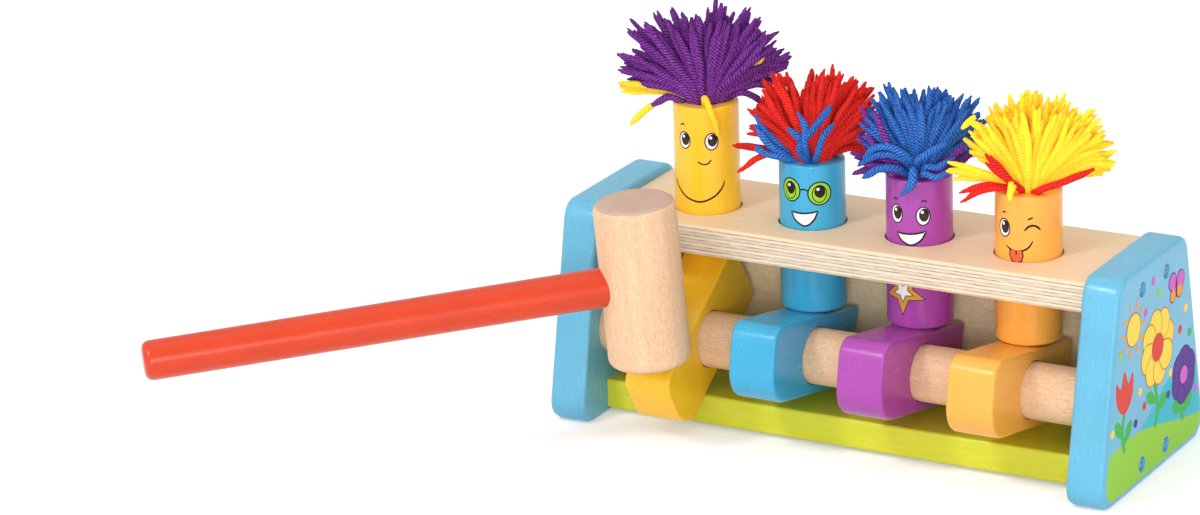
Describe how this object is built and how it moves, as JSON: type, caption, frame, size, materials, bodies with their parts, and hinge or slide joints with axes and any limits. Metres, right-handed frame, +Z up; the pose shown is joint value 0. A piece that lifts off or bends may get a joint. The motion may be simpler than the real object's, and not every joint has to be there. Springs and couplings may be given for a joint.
{
  "type": "peg pounding bench",
  "caption": "Wooden pounding bench: painted ends carry a bare plate of pegs with yarn hair, each thrown up by a lever on a shared axle when the mallet strikes its nose.",
  "frame": {"origin": "middle of the bench on the underside of the base board, a little above the floor", "axes": "+X to the right end of the bench, +Y to its back, +Z up"},
  "size_m": [0.3275, 0.2315, 0.1603],
  "materials": {
    "sky_blue_lacquer": "satin lacquer",
    "birch_plywood": "bare, sanded",
    "lime_lacquer": "satin lacquer",
    "bare_wood": "bare, sanded",
    "yellow_lacquer": "satin lacquer",
    "blue_lacquer": "satin lacquer",
    "purple_lacquer": "satin lacquer",
    "orange_lacquer": "satin lacquer",
    "red_lacquer": "satin lacquer",
    "purple_yarn": "plied yarn",
    "red_yarn": "plied yarn",
    "blue_yarn": "plied yarn",
    "yellow_yarn": "plied yarn",
    "zinc_steel": "zinc plated"
  },
  "bodies": {
    "bench": {"left_end_panel": "sky_blue_lacquer", "right_end_panel": "sky_blue_lacquer", "top_plate": "birch_plywood", "base_board": "lime_lacquer", "back_panel": "bare_wood", "axle_dowel": "bare_wood", "plate_screws": "zinc_steel", "base_screws": "zinc_steel"},
    "yellow_lever": {"yellow_lever": "yellow_lacquer"},
    "blue_lever": {"blue_lever": "blue_lacquer"},
    "purple_lever": {"purple_lever": "purple_lacquer"},
    "orange_lever": {"orange_lever": "orange_lacquer"},
    "yellow_peg": {"yellow_peg": "yellow_lacquer", "yellow_peg_hair": "purple_yarn"},
    "blue_peg": {"blue_peg": "blue_lacquer", "blue_peg_hair": "red_yarn"},
    "purple_peg": {"purple_peg": "purple_lacquer", "purple_peg_hair": "blue_yarn"},
    "orange_peg": {"orange_peg": "orange_lacquer", "orange_peg_hair": "yellow_yarn"},
    "mallet": {"mallet_head": "bare_wood", "mallet_handle": "red_lacquer"}
  },
  "joints": [
    {"name": "mallet_lift", "type": "slide", "parent": "bench", "child": "mallet", "axis": [0, 0, 1], "range_m": [0, 0.08]},
    {"name": "yellow_lever_pivot", "type": "hinge", "parent": "bench", "child": "yellow_lever", "pos_m": [-0.06675, -0.02225, 0.0328], "axis": [1, 0, 0], "range_deg": [-44.73, 0]},
    {"name": "blue_lever_pivot", "type": "hinge", "parent": "bench", "child": "blue_lever", "pos_m": [-0.02225, -0.02225, 0.0328], "axis": [1, 0, 0], "range_deg": [0, 44.73]},
    {"name": "purple_lever_pivot", "type": "hinge", "parent": "bench", "child": "purple_lever", "pos_m": [0.02225, -0.02225, 0.0328], "axis": [1, 0, 0], "range_deg": [0, 44.73]},
    {"name": "orange_lever_pivot", "type": "hinge", "parent": "bench", "child": "orange_lever", "pos_m": [0.06675, -0.02225, 0.0328], "axis": [1, 0, 0], "range_deg": [0, 44.73]},
    {"name": "yellow_peg_slide", "type": "slide", "parent": "bench", "child": "yellow_peg", "axis": [0, 0, 1], "range_m": [-0.01687, 0]},
    {"name": "blue_peg_slide", "type": "slide", "parent": "bench", "child": "blue_peg", "axis": [0, 0, 1], "range_m": [0, 0.01687]},
    {"name": "purple_peg_slide", "type": "slide", "parent": "bench", "child": "purple_peg", "axis": [0, 0, 1], "range_m": [0, 0.01687]},
    {"name": "orange_peg_slide", "type": "slide", "parent": "bench", "child": "orange_peg", "axis": [0, 0, 1], "range_m": [0, 0.01687]}
  ],
  "couplings": [
    {"joint": "yellow_lever_pivot", "follows": "mallet_lift", "rad_per_m": -9.758},
    {"joint": "yellow_peg_slide", "follows": "mallet_lift", "ratio": -0.2108},
    {"joint": "blue_peg_slide", "follows": "blue_lever_pivot", "m_per_rad": 0.021602},
    {"joint": "purple_peg_slide", "follows": "purple_lever_pivot", "m_per_rad": 0.021602},
    {"joint": "orange_peg_slide", "follows": "orange_lever_pivot", "m_per_rad": 0.021602}
  ]
}
